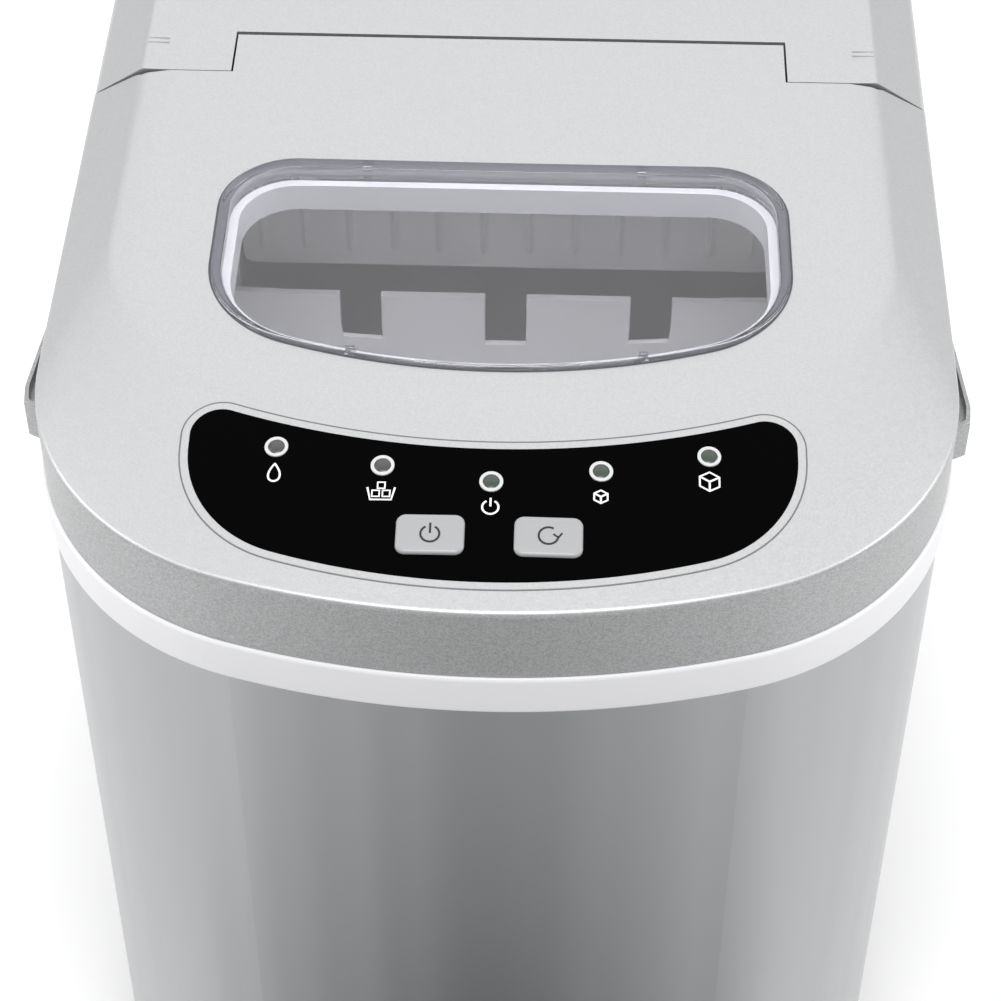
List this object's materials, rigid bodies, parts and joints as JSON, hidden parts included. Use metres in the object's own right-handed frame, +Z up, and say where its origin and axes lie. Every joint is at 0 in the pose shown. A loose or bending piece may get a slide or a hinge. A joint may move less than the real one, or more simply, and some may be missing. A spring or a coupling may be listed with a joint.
{
  "type": "countertop ice maker",
  "caption": "Bow-fronted countertop ice maker with a hinged top, smoked window, sloped control panel, lift-out basket and tilting water tray.",
  "frame": {"origin": "centre of the footprint of the outside box, on the floor under the feet", "axes": "+Z up, -Y is the front with the control panel, +Y runs to the rear panel, +X is the right side seen from the front"},
  "size_m": [0.245, 0.358, 0.328],
  "materials": {
    "silver_paint": "fine metallic paint, satin",
    "band_plastic": "moulded plastic, light silver grey",
    "shell_steel": "satin sheet, fine vertical grain",
    "rear_steel": "painted sheet",
    "dark_plastic": "moulded, fine texture",
    "rubber": "moulded rubber",
    "screw_steel": "plated",
    "smoke_window": "clear smoke grey, polished",
    "white_plastic": "moulded, satin",
    "black_gloss": "printed gloss panel",
    "key_silver": "moulded, satin",
    "lens_grey": "clear diffusing lens, unlit",
    "board_green": "solder mask",
    "tank_plastic": "moulded",
    "foam": "closed-cell foam",
    "pump_black": "moulded or painted black",
    "silicone": "translucent silicone",
    "float_blue": "foamed plastic",
    "cold_metal": "nickel plated",
    "copper": "bare copper tube",
    "motor_metal": "cast or pressed"
  },
  "bodies": {
    "cabinet": {"base_pan": "dark_plastic", "wrap_shell": "shell_steel", "rear_panel": "rear_steel", "housing_screws": "screw_steel", "rim_frame": "band_plastic", "rear_cover": "silver_paint", "hinge_pin_left": "screw_steel", "hinge_pin_right": "screw_steel", "water_tank": "tank_plastic", "tank_insulation": "foam", "drain_spout": "white_plastic", "water_pump": "pump_black", "supply_hose": "silicone", "float_stem": "white_plastic", "evaporator_plate": "cold_metal", "cooling_fingers": "cold_metal", "evaporator_tube": "copper", "evaporator_cover": "white_plastic", "bracket_left": "white_plastic", "bracket_right": "white_plastic", "tray_motor": "motor_metal", "ice_full_sensors": "pump_black", "compressor": "pump_black", "compressor_grommets": "rubber", "condenser": "motor_metal", "fan_bracket": "dark_plastic", "fan_motor": "motor_metal", "filter_drier": "copper", "hot_gas_valve": "motor_metal", "discharge_line": "copper", "suction_line": "copper", "capillary_tube": "copper", "liquid_line": "copper", "power_board": "board_green", "mains_inlet": "dark_plastic", "foot_front_left": "rubber", "foot_front_right": "rubber", "foot_rear_left": "rubber", "foot_rear_right": "rubber"},
    "lid": {"lid_shell": "silver_paint", "lid_window": "smoke_window", "lid_liner": "white_plastic", "control_housing": "white_plastic", "control_bezel": "silver_paint", "control_overlay": "black_gloss", "led_rings": "key_silver", "led_lenses": "lens_grey", "panel_board": "board_green"},
    "on_off_key": {"on_off_button": "key_silver"},
    "select_key": {"select_button": "key_silver"},
    "basket": {"ice_basket": "white_plastic"},
    "tray": {"water_tray": "white_plastic", "tray_crank": "white_plastic"},
    "shovel": {"ice_shovel": "white_plastic", "shovel_crank": "white_plastic"},
    "link": {"link_rod": "white_plastic"},
    "fan": {"fan_blade": "dark_plastic"},
    "impeller": {"pump_impeller": "pump_black"},
    "float": {"water_float": "float_blue"},
    "drain_bung": {"drain_cap": "rubber"}
  },
  "joints": [
    {"name": "lid_hinge", "type": "hinge", "parent": "cabinet", "child": "lid", "pos_m": [0, 0.0202, 0.3205], "axis": [-1, 0, 0], "range_deg": [0, 75]},
    {"name": "on_off_press", "type": "slide", "parent": "lid", "child": "on_off_key", "axis": [0, 0, -1], "range_m": [0, 0.0008], "stiffness_N_per_m": 400, "springref_m": -0.001},
    {"name": "select_press", "type": "slide", "parent": "lid", "child": "select_key", "axis": [0, 0, -1], "range_m": [0, 0.0008], "stiffness_N_per_m": 400, "springref_m": -0.001},
    {"name": "tray_tilt", "type": "hinge", "parent": "cabinet", "child": "tray", "pos_m": [0, 0.02, 0.266], "axis": [1, 0, 0], "range_deg": [-60, 0]},
    {"name": "shovel_swing", "type": "hinge", "parent": "cabinet", "child": "shovel", "pos_m": [0, 0.011, 0.296], "axis": [1, 0, 0], "range_deg": [-60, 0]},
    {"name": "link_turn", "type": "hinge", "parent": "tray", "child": "link", "pos_m": [-0.0899, 0.0115, 0.2575], "axis": [1, 0, 0], "range_deg": [-1, 62]},
    {"name": "fan_spin", "type": "hinge", "parent": "cabinet", "child": "fan", "pos_m": [0.078, 0.128, 0.1], "axis": [1, 0, 0], "continuous": true},
    {"name": "impeller_spin", "type": "hinge", "parent": "cabinet", "child": "impeller", "pos_m": [0.05, 0.042, 0.08], "axis": [0, 0, 1], "continuous": true},
    {"name": "basket_lift", "type": "slide", "parent": "cabinet", "child": "basket", "axis": [0, 0, 1], "range_m": [0, 0.03]},
    {"name": "float_rise", "type": "slide", "parent": "cabinet", "child": "float", "axis": [0, 0, 1], "range_m": [0, 0.03]},
    {"name": "drain_pull", "type": "slide", "parent": "cabinet", "child": "drain_bung", "axis": [1, 0, 0], "range_m": [0, 0.02]}
  ],
  "couplings": [
    {"joint": "shovel_swing", "follows": "tray_tilt", "ratio": 1},
    {"joint": "link_turn", "follows": "tray_tilt", "ratio": -1}
  ]
}
